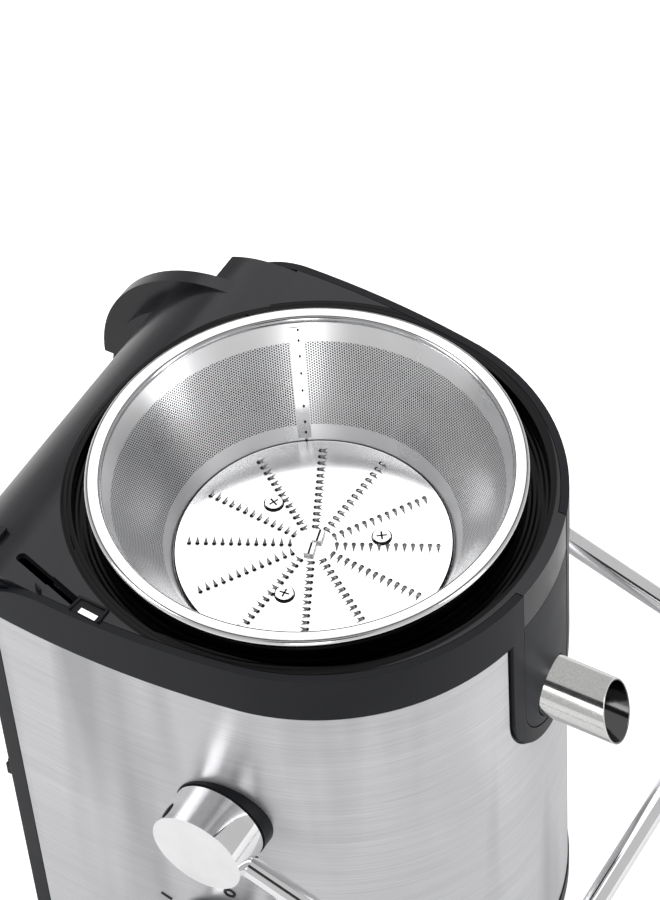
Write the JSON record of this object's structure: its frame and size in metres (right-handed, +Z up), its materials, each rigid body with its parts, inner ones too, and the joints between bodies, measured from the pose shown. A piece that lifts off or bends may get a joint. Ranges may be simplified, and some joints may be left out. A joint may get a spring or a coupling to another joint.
{
  "type": "centrifugal juicer",
  "caption": "Table-top centrifugal juicer without its lid: steel-wrapped body, black juice bowl with a side spout and pulp chute, spinning grating basket, locking bail and speed dial.",
  "frame": {"origin": "on the table, in the plane of the rubber foot, under the basket's axis of rotation", "axes": "+Z up along the basket's axis, +X towards the spout, -Y towards the user, where the dial is"},
  "size_m": [0.3092, 0.2431, 0.275],
  "materials": {
    "satin_black": "satin moulded plastic with a fine grain",
    "gloss_black": "glossy moulded plastic",
    "inner_plastic": "plain moulded plastic",
    "brushed_wrap": "brushed stainless sheet",
    "polished_chrome": "mirror polished",
    "bright_steel": "bright pressed stainless",
    "mesh_steel": "finely perforated stainless",
    "black_rubber": "soft black rubber",
    "print_black": "printed marks",
    "bearing_steel": "ground steel",
    "core_steel": "varnished laminations",
    "cast_aluminium": "die cast and pressed aluminium",
    "copper": "enamelled copper wire and brass",
    "carbon": "pressed carbon"
  },
  "bodies": {
    "housing": {"main_shell": "satin_black", "steel_wrap": "brushed_wrap", "top_collar": "satin_black", "left_cover": "satin_black", "base_plate": "satin_black", "foot_ring": "black_rubber", "base_screws": "bearing_steel", "cord_gland": "satin_black", "motor_deck": "cast_aluminium", "rubber_mounts": "black_rubber", "deck_screws": "bearing_steel", "motor_stator": "core_steel", "field_coils": "copper", "upper_bracket": "cast_aluminium", "lower_bracket": "cast_aluminium", "bearings": "bearing_steel", "brush_holders": "copper", "carbon_brushes": "carbon", "motor_screws": "bearing_steel", "speed_switch": "inner_plastic", "safety_switch": "inner_plastic", "pivot_rings": "black_rubber", "dial_bezel": "black_rubber", "dial_marks": "print_black", "juice_bowl": "gloss_black", "spout_plate": "satin_black", "spout_tube": "bright_steel", "spout_seal": "black_rubber", "shaft_seal": "black_rubber"},
    "rotor": {"motor_shaft": "bearing_steel", "armature": "core_steel", "commutator": "copper", "cooling_fan": "inner_plastic", "drive_coupling": "inner_plastic"},
    "basket": {"basket_rim": "bright_steel", "basket_cone": "mesh_steel", "mesh_seam": "bright_steel", "basket_floor": "bright_steel", "grating_disc": "bright_steel", "grater_teeth": "bright_steel", "centre_cutters": "bright_steel", "coupling_hub": "inner_plastic", "disc_screws": "bright_steel"},
    "bail": {"bail_rod": "polished_chrome", "front_hub": "polished_chrome", "rear_hub": "polished_chrome", "pivot_pins": "bearing_steel", "safety_cam": "inner_plastic"},
    "dial": {"speed_knob": "polished_chrome", "knob_shaft": "bearing_steel"}
  },
  "joints": [
    {"name": "rotor_spin", "type": "hinge", "parent": "housing", "child": "rotor", "pos_m": [0, 0, 0.1], "axis": [0, 0, 1], "continuous": true},
    {"name": "basket_spin", "type": "hinge", "parent": "housing", "child": "basket", "pos_m": [0, 0, 0.22], "axis": [0, 0, 1], "continuous": true},
    {"name": "bail_hinge", "type": "hinge", "parent": "housing", "child": "bail", "pos_m": [0.011, 0, 0.164], "axis": [0, -1, 0], "range_deg": [0, 110]},
    {"name": "dial_turn", "type": "hinge", "parent": "housing", "child": "dial", "pos_m": [0.009, -0.105, 0.072], "axis": [0, -1, 0], "range_deg": [-65, 65]}
  ],
  "couplings": [
    {"joint": "basket_spin", "follows": "rotor_spin", "ratio": 1}
  ]
}
